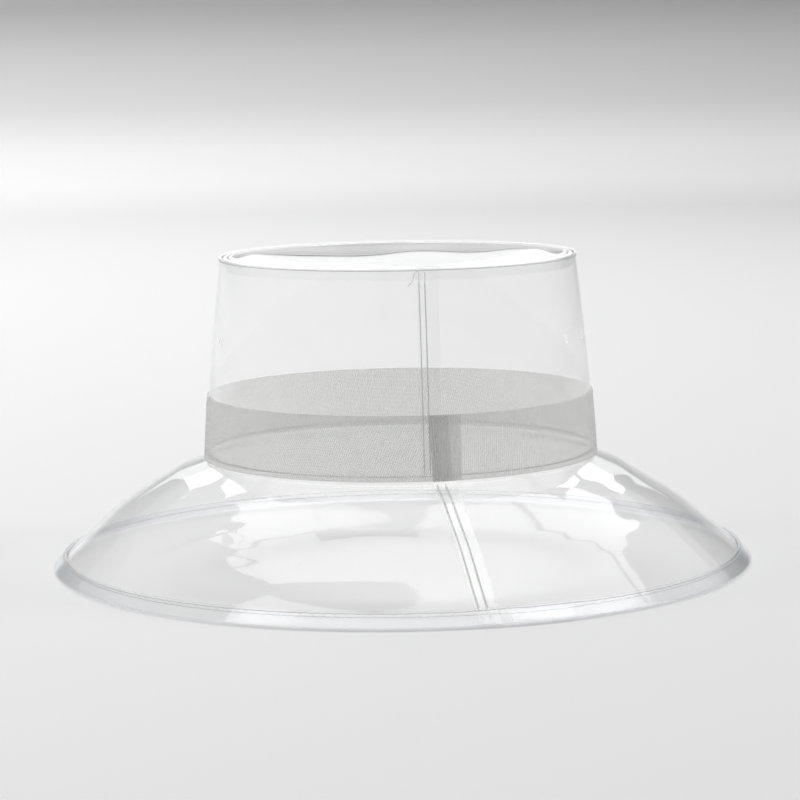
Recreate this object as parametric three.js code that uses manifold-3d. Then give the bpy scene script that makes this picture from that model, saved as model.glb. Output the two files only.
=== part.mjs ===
// A clear vinyl rain hat of the bucket shape: a flat crown tip, a tapered crown wall, a wide sloping
// brim with a bound edge, and a woven ribbon round the foot of the crown, with its sewing threads.
// Millimetres, +Z up. The hat stands on its brim edge at z = 0, centred on the Z axis, with the
// crown and brim seams at the front, near -Y.

import * as THREE from "three";
import { mergeVertices } from "three/addons/utils/BufferGeometryUtils.js";
import Module from "manifold-3d";

// Driving dimensions.
const HEAD_CIRCUMFERENCE = 575; // inside, where the head goes in
const CROWN_TOP_RADIUS = 83.2; // outside of the wall at the tip seam
const JOINT_Z = 50.8; // where the brim's collar bends out into the brim
const CROWN_TOP_Z = 146.7;
const SHOULDER_REACH = 17; // radial width of the brim's flatter start
const SHOULDER_SLOPE = 28; // degrees below the horizontal
const BRIM_SLOPE = 35.5; // degrees below the horizontal, from the shoulder to the edge
const WALL_BARREL = 0.8; // how far the wall bellies out halfway up

const SHEET = 0.5; // clear vinyl
const RIBBON = 0.4; // woven ribbon
const THREAD = 0.4; // sewing thread diameter
const GAP = 0.3; // between neighbouring layers
const LAYER = SHEET + GAP;

const COLLAR_HEIGHT = 5; // the brim's allowance, turned up inside the crown
const FLANGE_HEIGHT = 5.5; // the tip's allowance, turned down inside the crown
const RIBBON_HEIGHT = 30;
const BINDING_WIDTH = 8; // each leg of the folded edge binding
const BINDING_FLAT = 0.35; // how deep the fold is pressed flat where the hat stands on it

const VENT_DIAMETER = 3.8;
const VENT_HEIGHT = 109;
const VENT_AZIMUTHS = [-86, -70, 60.5, 76]; // degrees from the front

const SEAM_AZIMUTH = 8.6; // degrees, the crown seam's cut edge at the joint
const BRIM_SEAM_LEAN = 2.2; // degrees more at the brim edge

// Where the seams lie along the lattice below, in mm to the right of the crown seam's cut edge.
const LOCAL_LINES = [-15, -10, -5, 0, 5, 10, 15, 20];
const REST_STEPS = 64; // even steps round the rest of the hat
const WALL_LAP = [-5, 5];
const BRIM_LAP = [0, 10];
const RIBBON_LAP = [0, 10];
const RAMP = 10; // how far a layer takes to settle back beside a lap
const BINDING_JOIN = 20; // where the binding's two ends meet
const ROW_INSET = 1.5; // first row of stitches, in from a cut edge
const CROWN_ROW_PITCH = 2.6; // between the two rows of the crown seam
const BRIM_ROW_PITCH = 3.8; // between the two rows of the brim seam

// Levels and radii that follow from the driving dimensions.
const RADIANS = Math.PI / 180;
const HEAD_RADIUS = HEAD_CIRCUMFERENCE / (2 * Math.PI);
const WALL_FOOT_Z = JOINT_Z + 1;
const RIBBON_FOOT_Z = JOINT_Z + 0.4;
const RIBBON_TOP_Z = RIBBON_FOOT_Z + RIBBON_HEIGHT;
const COLLAR_TOP_Z = JOINT_Z + COLLAR_HEIGHT;
const SWELL_END_Z = JOINT_Z + 29; // above this the wall no longer follows the collar's lap
const TIP_Z = CROWN_TOP_Z - 0.4; // top face of the crown tip
const FLANGE_FOOT_Z = TIP_Z - FLANGE_HEIGHT;
const JOINT_ROW_Z = JOINT_Z + 3.2;
const TIP_ROW_Z = CROWN_TOP_Z - 1.6;
const WALL_FOOT_RADIUS = HEAD_RADIUS + SHEET + GAP; // inside of the wall at its foot
const WALL_TOP_RADIUS = CROWN_TOP_RADIUS - SHEET;
const RIBBON_STANDOFF = SHEET + GAP + THREAD + GAP; // from the wall's inside to the ribbon's inside

// The brim sheet's inner face, from its shoulder down to its cut edge, which the binding lifts just
// far enough for its pressed fold to lie at z = 0.
const NOSE = GAP + SHEET; // from the brim's cut edge to the outside of the fold
const SLOPE = new THREE.Vector2(Math.cos(BRIM_SLOPE * RADIANS), -Math.sin(BRIM_SLOPE * RADIANS));
const SLOPE_NORMAL = new THREE.Vector2(-SLOPE.y, SLOPE.x);
const SHOULDER_RADIUS = HEAD_RADIUS + SHOULDER_REACH;
const SHOULDER_Z = JOINT_Z - SHOULDER_REACH * Math.tan(SHOULDER_SLOPE * RADIANS);
const BRIM_EDGE_Z = LAYER * SLOPE_NORMAL.y - NOSE * SLOPE.y - BINDING_FLAT;
const SLOPE_LENGTH = (SHOULDER_Z - BRIM_EDGE_Z) / -SLOPE.y;
const BRIM_RADIUS = SHOULDER_RADIUS + SLOPE_LENGTH * SLOPE.x;

const LOCAL_COUNT = LOCAL_LINES.length;
const TURN = LOCAL_COUNT + REST_STEPS - 1; // lattice lines in one full turn

// Radius of the inside of the crown wall at height z, clear of any lap.
function wallRadius(z) {
  const t = (z - WALL_FOOT_Z) / (CROWN_TOP_Z - WALL_FOOT_Z);
  return THREE.MathUtils.lerp(WALL_FOOT_RADIUS, WALL_TOP_RADIUS, t) + 4 * WALL_BARREL * t * (1 - t);
}

// Azimuth of the crown seam's cut edge line at a radius and height, in radians from the front.
function seamAzimuth(radius, z) {
  const out = (radius - HEAD_RADIUS) / (BRIM_RADIUS - HEAD_RADIUS);
  const lean = z > JOINT_Z ? 0 : BRIM_SEAM_LEAN * Math.max(out, 0);
  return (SEAM_AZIMUTH + lean) * RADIANS;
}

// Azimuth of a lattice line, which every layer shares so that their facets stay parallel. The first
// lines lie at fixed distances from the seam, and the others are spread evenly round the hat.
function lineAzimuth(line, radius, z) {
  const turns = Math.floor(line / TURN);
  const index = line - turns * TURN;
  const first = LOCAL_LINES[0] / radius;
  const last = LOCAL_LINES[LOCAL_COUNT - 1] / radius;
  const step = (2 * Math.PI - last + first) / REST_STEPS;
  const local = index < LOCAL_COUNT;
  const angle = local ? LOCAL_LINES[index] / radius : last + (index - LOCAL_COUNT + 1) * step;
  return seamAzimuth(radius, z) + angle + turns * 2 * Math.PI;
}

const lineAt = (offset) => LOCAL_LINES.indexOf(offset);

function place(radius, z, azimuth) {
  return [radius * Math.sin(azimuth), -radius * Math.cos(azimuth), z];
}

// How far a layer is lifted at a line by the lap of a layer below it: full over the lap, and
// falling to nothing over RAMP on each side.
function swell(line, lap) {
  const index = ((line % TURN) + TURN) % TURN;
  if (index >= LOCAL_COUNT) return 0;
  const offset = LOCAL_LINES[index];
  const away = Math.max(lap[0] - offset, offset - lap[1], 0);
  return LAYER * Math.max(0, 1 - away / RAMP);
}

// How far a lapped strip is lifted over its own far end. The strip starts at the lap's first line.
function ownLift(line, lap, lift) {
  if (line >= TURN) return 0;
  const offset = line < LOCAL_COUNT ? LOCAL_LINES[line] : Infinity;
  return lift * THREE.MathUtils.clamp(1 - (offset - lap[1]) / RAMP, 0, 1);
}

// The wall follows the collar's lap at its foot, and this fades out higher up.
function collarFade(z) {
  return THREE.MathUtils.clamp((SWELL_END_Z - z) / (SWELL_END_Z - COLLAR_TOP_Z), 0, 1);
}

// Unit normals of an open profile that runs downwards and outwards, lengthened at its corners so
// that an offset profile keeps its distance. They point out of the hat.
function profileNormals(profile) {
  const sides = profile.slice(1).map((p, i) => {
    const side = new THREE.Vector2(p[0] - profile[i][0], p[1] - profile[i][1]).normalize();
    return new THREE.Vector2(-side.y, side.x);
  });
  return profile.map((_, i) => {
    const before = sides[Math.max(i - 1, 0)];
    const after = sides[Math.min(i, sides.length - 1)];
    const middle = before.clone().add(after).normalize();
    return middle.divideScalar(middle.dot(after));
  });
}

// The closed section of a sheet of some thickness, lying a distance off a profile.
function sheetSection(profile, normals, lift, thickness) {
  const at = (i, d) => [profile[i][0] + normals[i].x * d, profile[i][1] + normals[i].y * d];
  const inner = profile.map((_, i) => at(i, lift(profile[i][1])));
  const outer = profile.map((_, i) => at(i, lift(profile[i][1]) + thickness));
  return inner.concat(outer.reverse());
}

// Triangles that fill a section, each wound anticlockwise.
function capFaces(section) {
  const outline = section.map(([r, z]) => new THREE.Vector2(r, z));
  const area = (face) => THREE.ShapeUtils.area(face.map((i) => outline[i]));
  const faces = THREE.ShapeUtils.triangulateShape(outline, []);
  return faces.map((face) => (area(face) > 0 ? face : [face[0], face[2], face[1]]));
}

// A closed body swept round the hat through one anticlockwise section per lattice line. A strip that
// isn't closed gets a cap at each end, and its last section may be held back by a small distance.
function sweep(lines, section, closed = false, holdBack = 0) {
  const rings = lines.map((line, i) => {
    const short = i === lines.length - 1 ? holdBack : 0;
    return section(line).map(([r, z]) => place(r, z, lineAzimuth(line, r, z) - short / r));
  });
  const count = rings[0].length;
  const positions = rings.flat(2);
  const indices = [];
  const spans = closed ? rings.length : rings.length - 1;
  for (let i = 0; i < spans; i += 1) {
    const a = i * count;
    const b = ((i + 1) % rings.length) * count;
    for (let k = 0; k < count; k += 1) {
      const next = (k + 1) % count;
      indices.push(a + k, b + k, b + next, a + k, b + next, a + next);
    }
  }
  if (!closed) {
    const last = (rings.length - 1) * count;
    for (const [p, q, r] of capFaces(section(lines[0]))) indices.push(p, q, r);
    for (const [p, q, r] of capFaces(section(lines.at(-1)))) indices.push(last + p, last + r, last + q);
  }
  const geometry = new THREE.BufferGeometry();
  geometry.setAttribute("position", new THREE.Float32BufferAttribute(positions, 3));
  geometry.setIndex(indices);
  return geometry;
}

const strip = (first, count) => Array.from({ length: count + 1 }, (_, i) => first + i);
const lapStrip = (lap) => strip(lineAt(lap[0]), TURN + lineAt(lap[1]) - lineAt(lap[0]));

// ---- Panels ----

const WALL_LEVELS = [CROWN_TOP_Z, 125, 102, SWELL_END_Z, COLLAR_TOP_Z, WALL_FOOT_Z];

// How far the wall's inside stands off its plain radius because of the collar's lap below it.
const wallBase = (line, z) => swell(line, BRIM_LAP) * collarFade(z);

function makeCrownWall() {
  const profile = WALL_LEVELS.map((z) => [wallRadius(z), z]);
  const normals = profile.map(() => new THREE.Vector2(1, 0));
  return sweep(lapStrip(WALL_LAP), (line) => {
    const own = ownLift(line, WALL_LAP, LAYER);
    return sheetSection(profile, normals, (z) => own + wallBase(line, z), SHEET);
  });
}

// Distance from the wall's plain radius to a level that clears the wall's outside and its lap.
const overWall = (line, z) => wallBase(line, z) + swell(line, WALL_LAP);

function makeHatBand() {
  const levels = [RIBBON_TOP_Z, SWELL_END_Z, COLLAR_TOP_Z, RIBBON_FOOT_Z];
  const profile = levels.map((z) => [wallRadius(z) + RIBBON_STANDOFF, z]);
  const normals = profile.map(() => new THREE.Vector2(1, 0));
  return sweep(lapStrip(RIBBON_LAP), (line) => {
    const own = ownLift(line, RIBBON_LAP, RIBBON + GAP);
    return sheetSection(profile, normals, (z) => own + overWall(line, z), RIBBON);
  });
}

// The inner face of the brim sheet: up the collar's inside, round the joint and down the slope.
const BRIM_PROFILE = [
  [wallRadius(COLLAR_TOP_Z) - LAYER, COLLAR_TOP_Z],
  [HEAD_RADIUS, JOINT_Z],
  [SHOULDER_RADIUS, SHOULDER_Z],
  [BRIM_RADIUS, BRIM_EDGE_Z],
];
const BRIM_NORMALS = profileNormals(BRIM_PROFILE);

function makeBrim() {
  return sweep(lapStrip(BRIM_LAP), (line) => {
    const own = ownLift(line, BRIM_LAP, LAYER);
    return sheetSection(BRIM_PROFILE, BRIM_NORMALS, () => own, SHEET);
  });
}

// A point measured down the slope from the brim sheet's cut edge, and up off its inner face.
function offEdge(along, up) {
  return [
    BRIM_RADIUS + SLOPE.x * along + SLOPE_NORMAL.x * up,
    BRIM_EDGE_Z + SLOPE.y * along + SLOPE_NORMAL.y * up,
  ];
}

// The folded tape's section: a U that holds the brim's edge, pressed flat underneath at z = 0.
function bindingSection(line) {
  const top = LAYER + swell(line, BRIM_LAP);
  const alongLeg = BINDING_FLAT / -SLOPE.y;
  const upNose = BINDING_FLAT / SLOPE_NORMAL.y;
  return [
    offEdge(-BINDING_WIDTH, -LAYER),
    offEdge(NOSE - alongLeg, -LAYER),
    offEdge(NOSE, -LAYER + upNose),
    offEdge(NOSE, top + SHEET),
    offEdge(-BINDING_WIDTH, top + SHEET),
    offEdge(-BINDING_WIDTH, top),
    offEdge(GAP, top),
    offEdge(GAP, -GAP),
    offEdge(-BINDING_WIDTH, -GAP),
  ];
}

function makeBrimBinding() {
  return sweep(strip(lineAt(BINDING_JOIN), TURN), bindingSection, false, GAP);
}

function makeCrownTip() {
  const rim = wallRadius(TIP_Z) - GAP;
  const foot = wallRadius(FLANGE_FOOT_Z) - GAP;
  const profile = [
    [0, TIP_Z - SHEET],
    [rim - SHEET, TIP_Z - SHEET],
    [foot - SHEET, FLANGE_FOOT_Z],
    [foot, FLANGE_FOOT_Z],
    [rim, TIP_Z],
    [0, TIP_Z],
  ];
  const geometry = new THREE.LatheGeometry(profile.map(([r, z]) => new THREE.Vector2(r, z)), 72);
  return geometry.rotateX(Math.PI / 2);
}

// ---- Vent holes ----

const wasm = await Module();
wasm.setup();

function toManifold(geometry) {
  const bare = geometry.index ? geometry.clone() : mergeVertices(geometry);
  bare.deleteAttribute("normal");
  bare.deleteAttribute("uv");
  const merged = mergeVertices(bare);
  return new wasm.Manifold(new wasm.Mesh({
    numProp: 3,
    vertProperties: new Float32Array(merged.attributes.position.array),
    triVerts: new Uint32Array(merged.index.array),
  }));
}

function fromManifold(solid) {
  const mesh = solid.getMesh();
  const geometry = new THREE.BufferGeometry();
  geometry.setAttribute("position", new THREE.Float32BufferAttribute(mesh.vertProperties, 3));
  geometry.setIndex(Array.from(mesh.triVerts));
  return geometry;
}

// Punches the plain vent holes through the wall, two on each side.
function punchVents(wall) {
  const radius = wallRadius(VENT_HEIGHT);
  let solid = toManifold(wall);
  for (const degrees of VENT_AZIMUTHS) {
    const azimuth = degrees * RADIANS;
    const punch = new THREE.CylinderGeometry(VENT_DIAMETER / 2, VENT_DIAMETER / 2, 12, 12);
    punch.rotateZ(azimuth);
    punch.translate(...place(radius, VENT_HEIGHT, azimuth));
    solid = solid.subtract(toManifold(punch));
  }
  return fromManifold(solid);
}

// ---- Sewing threads ----

// The section of a thread whose middle is at a radius and height.
function threadSection(radius, z) {
  const h = THREAD / 2;
  return [[radius - h, z], [radius, z - h], [radius + h, z], [radius, z + h]];
}

// A row of stitches that runs right round the hat.
const ringThread = (middle) => sweep(strip(0, TURN - 1), (line) => threadSection(...middle(line)), true);

// A run of thread through a few points, in a number of even steps.
function threadThrough(points, steps) {
  const path = new THREE.CatmullRomCurve3(points.map((p) => new THREE.Vector3(...p)));
  const outline = new THREE.Shape();
  outline.absarc(0, 0, THREAD / 2, 0, 2 * Math.PI);
  return new THREE.ExtrudeGeometry(outline, {
    steps, curveSegments: 3, bevelEnabled: false, extrudePath: path,
  });
}

const THREAD_CLEAR = GAP + THREAD / 2; // from a sheet's face to the middle of a thread on it

// One row of the crown seam, on the outside of the lap or on the inside of it.
function crownSeamThread(row, outside) {
  const offset = WALL_LAP[0] + ROW_INSET + row * CROWN_ROW_PITCH;
  const end = (z) => {
    const face = outside ? LAYER + SHEET + THREAD_CLEAR : -THREAD_CLEAR;
    const collar = outside ? LAYER * collarFade(z) : 0;
    const radius = wallRadius(z) + face + collar;
    return place(radius, z, seamAzimuth(radius, z) + offset / radius);
  };
  const low = outside ? JOINT_ROW_Z + 2 * THREAD : COLLAR_TOP_Z + 2;
  const high = outside ? TIP_ROW_Z - 2 * THREAD : FLANGE_FOOT_Z - 2;
  const between = WALL_LEVELS.filter((z) => z > low + 1 && z < high - 1).reverse();
  return threadThrough([low, ...between, high].map(end), 6);
}

// One row of the brim seam, on the top of the lap or underneath it.
function brimSeamThread(row, outside) {
  const offset = BRIM_LAP[0] + ROW_INSET + row * BRIM_ROW_PITCH;
  const up = outside ? LAYER + SHEET + THREAD_CLEAR : -THREAD_CLEAR;
  const onSlope = (along) => offEdge(along, up);
  const onShoulder = (along) => {
    const tilt = SHOULDER_SLOPE * RADIANS;
    const [radius, z] = offEdge(-SLOPE_LENGTH, up);
    return [radius - along * Math.cos(tilt), z + along * Math.sin(tilt)];
  };
  const path = [
    onShoulder(SHOULDER_REACH - 6), onShoulder(5), onSlope(5 - SLOPE_LENGTH),
    onSlope(-SLOPE_LENGTH / 2), onSlope(-BINDING_WIDTH - 2 * THREAD),
  ];
  const onSeam = ([radius, z]) => place(radius, z, seamAzimuth(radius, 0) + offset / radius);
  return threadThrough(path.map(onSeam), 14);
}

const tipSeamOuter = () => ringThread((line) => [
  wallRadius(TIP_ROW_Z) + overWall(line, TIP_ROW_Z) + SHEET + THREAD_CLEAR, TIP_ROW_Z,
]);
const tipSeamInner = () => ringThread(() => [
  wallRadius(TIP_ROW_Z) - GAP - SHEET - THREAD_CLEAR - 0.2, TIP_ROW_Z - 0.5,
]);
const jointSeamOuter = () => ringThread((line) => [
  wallRadius(JOINT_ROW_Z) + overWall(line, JOINT_ROW_Z) + SHEET + THREAD_CLEAR, JOINT_ROW_Z,
]);
const jointSeamInner = () => ringThread(() => [
  wallRadius(JOINT_ROW_Z) - LAYER - THREAD_CLEAR - 0.1, JOINT_ROW_Z,
]);
const bindingSeamOuter = () => ringThread((line) => offEdge(
  -BINDING_WIDTH + ROW_INSET, LAYER + swell(line, BRIM_LAP) + SHEET + THREAD_CLEAR,
));
const bindingSeamInner = () => ringThread(() => offEdge(
  -BINDING_WIDTH + ROW_INSET, -LAYER - THREAD_CLEAR,
));

// The row that sews the ribbon's end down over its start.
function bandLapThread(outside) {
  const offset = RIBBON_LAP[0] + ROW_INSET;
  const end = (z) => {
    const over = RIBBON_STANDOFF + overWall(lineAt(0), z);
    const face = outside ? 2 * RIBBON + GAP + THREAD_CLEAR : -THREAD_CLEAR;
    const radius = wallRadius(z) + over + face;
    return place(radius, z, seamAzimuth(radius, z) + offset / radius);
  };
  const low = outside ? RIBBON_FOOT_Z + ROW_INSET : JOINT_ROW_Z + 3 * THREAD;
  return threadThrough([low, RIBBON_TOP_Z - ROW_INSET].map(end), 2);
}

// ---- Assembly ----

const clearVinyl = () => new THREE.MeshStandardMaterial({
  color: 0xf2f4f5, roughness: 0.06, metalness: 0, transparent: true, opacity: 0.25,
});
const ribbonWeave = () => new THREE.MeshStandardMaterial({ color: 0xc4c4c0, roughness: 0.75, metalness: 0 });
const sewingThread = () => new THREE.MeshStandardMaterial({ color: 0xd2d4d4, roughness: 0.5, metalness: 0 });

const PIECES = [
  ["crown_tip", makeCrownTip(), clearVinyl()],
  ["crown_wall", punchVents(makeCrownWall()), clearVinyl()],
  ["brim", makeBrim(), clearVinyl()],
  ["brim_binding", makeBrimBinding(), clearVinyl()],
  ["hat_band", makeHatBand(), ribbonWeave()],
  ["tip_seam_needle_thread", tipSeamOuter(), sewingThread()],
  ["tip_seam_bobbin_thread", tipSeamInner(), sewingThread()],
  ["crown_seam_left_needle_thread", crownSeamThread(0, true), sewingThread()],
  ["crown_seam_left_bobbin_thread", crownSeamThread(0, false), sewingThread()],
  ["crown_seam_right_needle_thread", crownSeamThread(1, true), sewingThread()],
  ["crown_seam_right_bobbin_thread", crownSeamThread(1, false), sewingThread()],
  ["joint_seam_needle_thread", jointSeamOuter(), sewingThread()],
  ["joint_seam_bobbin_thread", jointSeamInner(), sewingThread()],
  ["band_lap_needle_thread", bandLapThread(true), sewingThread()],
  ["band_lap_bobbin_thread", bandLapThread(false), sewingThread()],
  ["brim_seam_left_needle_thread", brimSeamThread(0, true), sewingThread()],
  ["brim_seam_left_bobbin_thread", brimSeamThread(0, false), sewingThread()],
  ["brim_seam_right_needle_thread", brimSeamThread(1, true), sewingThread()],
  ["brim_seam_right_bobbin_thread", brimSeamThread(1, false), sewingThread()],
  ["binding_seam_needle_thread", bindingSeamOuter(), sewingThread()],
  ["binding_seam_bobbin_thread", bindingSeamInner(), sewingThread()],
];

const hat = new THREE.Group();
for (const [name, geometry, material] of PIECES) {
  const mesh = new THREE.Mesh(geometry, material);
  mesh.name = name;
  hat.add(mesh);
}

export default hat;
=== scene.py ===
"""A clear vinyl rain hat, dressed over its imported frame.

The hat is built the way a hat maker would sew it: a flat crown tip, a crown wall lapped at the front, a
sloping brim with a bound edge, a ribbon with its end folded under, and every row of lockstitch. All of it
is in metres, +Z up, with the hat standing on its brim edge at z = 0 and its seams near -Y.
"""

import logging
import math
from collections.abc import Callable, Mapping, Sequence
from dataclasses import dataclass
from enum import Enum

import bmesh
import bpy
import numpy as np
from mathutils import Matrix, Vector


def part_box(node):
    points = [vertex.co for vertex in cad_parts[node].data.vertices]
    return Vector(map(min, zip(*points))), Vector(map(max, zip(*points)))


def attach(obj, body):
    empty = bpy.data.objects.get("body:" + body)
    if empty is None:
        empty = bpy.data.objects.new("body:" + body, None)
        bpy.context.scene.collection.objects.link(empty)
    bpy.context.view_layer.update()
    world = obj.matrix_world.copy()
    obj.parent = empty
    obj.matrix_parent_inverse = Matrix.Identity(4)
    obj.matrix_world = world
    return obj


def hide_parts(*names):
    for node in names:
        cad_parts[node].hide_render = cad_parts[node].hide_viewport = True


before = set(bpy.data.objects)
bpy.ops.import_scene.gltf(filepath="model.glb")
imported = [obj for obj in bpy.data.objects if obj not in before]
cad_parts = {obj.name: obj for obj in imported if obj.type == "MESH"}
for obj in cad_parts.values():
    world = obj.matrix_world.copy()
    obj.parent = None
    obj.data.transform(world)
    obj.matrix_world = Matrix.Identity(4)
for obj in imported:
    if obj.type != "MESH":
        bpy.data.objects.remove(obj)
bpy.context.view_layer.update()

MM = 0.001
TURN = 2 * math.pi
LOG = logging.getLogger("rain_hat")

Points = np.ndarray
Socket = bpy.types.NodeSocket


class Slot(Enum):
    """The record's material slots."""

    VINYL = "clear_vinyl"
    BINDING = "binding_vinyl"
    RIBBON = "ribbon"
    THREAD = "thread"


class Held(Enum):
    STRETCHED = "stretched"
    HUNG = "hung"
    FOLDED = "folded"


# ---- Measures ----


def smooth(t: Points) -> Points:
    """Return a soft step from 0 at t = 0 to 1 at t = 1."""
    t = np.clip(t, 0.0, 1.0)
    return t * t * (3 - 2 * t)


@dataclass(frozen=True)
class Stock:
    """Thickness of what the hat is cut and sewn from, in metres."""

    sheet: float = 0.5 * MM
    ribbon: float = 0.35 * MM
    thread: float = 0.34 * MM
    air: float = 0.06 * MM

    @property
    def layer(self) -> float:
        """Return how far one sheet lifts what lies on it."""
        return self.sheet + self.air


@dataclass(frozen=True)
class Lap:
    """Where a strip overlaps itself, in metres to the right of the crown seam's cut edge."""

    start: float
    end: float
    ramp: float = 10 * MM


@dataclass(frozen=True)
class HatPlan:
    """The hat's rings, seams and laps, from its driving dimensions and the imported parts' boxes."""

    stock: Stock = Stock()
    head_radius: float = 575 * MM / TURN
    shoulder_reach: float = 17 * MM
    shoulder_slope: float = math.radians(28)
    brim_slope: float = math.radians(35.5)
    wall_barrel: float = 0.8 * MM
    wall_ease: float = 0.8 * MM
    tip_gap: float = 0.3 * MM
    seam_azimuth: float = math.radians(8.6)
    brim_lean: float = math.radians(2.6)
    wall_foot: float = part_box("crown_wall")[0].z
    wall_top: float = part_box("crown_wall")[1].z
    joint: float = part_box("crown_wall")[0].z - 1 * MM
    collar_top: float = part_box("brim")[1].z
    brim_edge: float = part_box("brim")[0].z + 0.35 * MM
    tip_top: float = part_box("crown_tip")[1].z
    flange_foot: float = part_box("crown_tip")[0].z
    tip_radius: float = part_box("crown_tip")[1].x
    ribbon_foot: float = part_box("hat_band")[0].z
    ribbon_top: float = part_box("hat_band")[1].z
    wall_lap: Lap = Lap(-5 * MM, 5 * MM)
    brim_lap: Lap = Lap(0.0, 10 * MM)
    ribbon_lap: Lap = Lap(0.0, 13 * MM)
    binding_lap: Lap = Lap(14 * MM, 44 * MM)

    @property
    def shoulder(self) -> tuple[float, float]:
        """Return the radius and height of the brim's shoulder, on its lower face."""
        radius = self.head_radius + self.shoulder_reach
        return radius, self.joint - self.shoulder_reach * math.tan(self.shoulder_slope)

    @property
    def brim_radius(self) -> float:
        """Return the radius of the brim's cut edge, on its lower face."""
        radius, height = self.shoulder
        return radius + (height - self.brim_edge) / math.tan(self.brim_slope)

    def wall_radius(self, height: Points) -> Points:
        """Return the radius of the crown wall's inside at a height."""
        t = (height - self.wall_foot) / (self.wall_top - self.wall_foot)
        foot = self.head_radius + self.wall_ease
        top = self.tip_radius + self.tip_gap
        return foot + (top - foot) * t + 4 * self.wall_barrel * t * (1 - t)

    def seam(self, radius: Points, height: Points) -> Points:
        """Return the azimuth of the crown and brim seams' cut edge at a radius and height."""
        out = np.maximum((radius - self.head_radius) / (self.brim_radius - self.head_radius), 0)
        return self.seam_azimuth + self.brim_lean * np.where(height > self.joint, 0, out)


def own_lift(offset: Points, lap: Lap, height: float) -> Points:
    """Return how far a strip rides over its own end.

    Args:
        offset: Distance from the seam to each point, growing all the way round the hat.
        lap: Where the strip overlaps itself.
        height: The lift over the whole lap.

    Returns:
        The lift at each point, which settles to nothing beyond the lap's ramp.
    """
    return height * smooth(1 - (offset - lap.end) / lap.ramp)


def swell(offset: Points, lap: Lap, height: float, left: float = 1.5 * MM) -> Points:
    """Return how far a lap below a layer lifts it.

    Args:
        offset: Distance from the seam to each point, wrapped to the nearer way round.
        lap: The lap below.
        height: The lift over the whole lap.
        left: How soon the lift starts before the lap's cut edge.

    Returns:
        The lift at each point.
    """
    before = smooth(1 - (lap.start - offset) / left)
    after = smooth(1 - (offset - lap.end) / lap.ramp)
    return height * np.minimum(before, after)


# ---- Shapes ----


class Profile:
    """An open line in a half plane through the hat's axis, measured along its own length."""

    STEP = 0.2 * MM

    def __init__(self, corners: Sequence[tuple[float, float, float]]) -> None:
        """Round the corners and space points evenly along the line.

        Args:
            corners: Radius, height and bend radius of each corner, from the top down.
        """
        line = [np.array(corners[0][:2])]
        for before, corner, after in zip(corners, corners[1:], corners[2:]):
            line += self._bend(before, corner, after)
        line.append(np.array(corners[-1][:2]))
        line = np.array(line)
        distance = np.concatenate([[0], np.cumsum(np.hypot(*np.diff(line, axis=0).T))])
        count = max(int(distance[-1] / self.STEP), 8)
        self.length = float(distance[-1])
        self.down = np.linspace(0, self.length, count)
        self.radius = np.interp(self.down, distance, line[:, 0])
        self.height = np.interp(self.down, distance, line[:, 1])
        run_r = np.gradient(self.radius, self.down)
        run_z = np.gradient(self.height, self.down)
        size = np.hypot(run_r, run_z)
        self.out_r = -run_z / size
        self.out_z = run_r / size

    @staticmethod
    def _bend(before: Sequence[float], corner: Sequence[float], after: Sequence[float]) -> list[Points]:
        """Return the points of one rounded corner.

        Args:
            before: The corner before it.
            corner: The corner, with its bend radius last.
            after: The corner after it.

        Returns:
            Points on the arc, or the corner itself where it isn't bent.
        """
        middle = np.array(corner[:2])
        to_start = np.array(before[:2]) - middle
        to_end = np.array(after[:2]) - middle
        to_start /= np.hypot(*to_start)
        to_end /= np.hypot(*to_end)
        opening = math.acos(np.clip(to_start @ to_end, -1, 1))
        if corner[2] == 0 or opening > math.pi - 0.01:
            return [middle]
        reach = corner[2] / math.tan(opening / 2)
        centre = middle + (to_start + to_end) / np.hypot(*(to_start + to_end)) * (
            corner[2] / math.sin(opening / 2)
        )
        first = middle + to_start * reach - centre
        last = middle + to_end * reach - centre
        swing = math.acos(np.clip(first @ last / corner[2] ** 2, -1, 1))
        shares = np.linspace(0, 1, max(int(math.degrees(swing) / 4), 2) + 1)
        return [
            centre + (first * math.sin((1 - s) * swing) + last * math.sin(s * swing)) / math.sin(swing)
            for s in shares
        ]

    def at(self, down: Points) -> tuple[Points, Points, Points, Points]:
        """Return radius, height and the outward normal's two parts at distances down the line."""
        lines = (self.radius, self.height, self.out_r, self.out_z)
        return tuple(np.interp(down, self.down, line) for line in lines)

    def rows(self, spacing: float, turn: float = math.radians(10)) -> Points:
        """Return distances for a mesh's rows, closer together round the bends.

        Args:
            spacing: Distance between rows where the line is straight.
            turn: Most that the line may turn between two rows.

        Returns:
            The distances, from 0 to the line's length.
        """
        heading = np.unwrap(np.arctan2(self.out_z, self.out_r))
        effort = np.maximum(1 / spacing, np.abs(np.gradient(heading, self.down)) / turn)
        total = np.concatenate([[0], np.cumsum((effort[1:] + effort[:-1]) / 2 * np.diff(self.down))])
        return np.interp(np.linspace(0, total[-1], int(total[-1]) + 2), total, self.down)

    def down_to(self, height: float) -> float:
        """Return the distance down a falling line to a height."""
        return float(np.interp(-height, -self.height, self.down))


@dataclass(frozen=True)
class Dent:
    """A soft oval swelling, or a hollow where its height is negative."""

    azimuth: float
    down: float
    half_turn: float
    half_run: float
    height: float
    lean: float = 0.0

    def at(self, azimuth: Points, share: Points) -> Points:
        """Return its height at azimuths in degrees and shares of the way down the sheet."""
        run = (share - self.down) / self.half_run
        turn = (azimuth - self.azimuth - self.lean * run + 180) % 360 - 180
        return self.height * np.exp(-((turn / self.half_turn) ** 2) - run**2)


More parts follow.
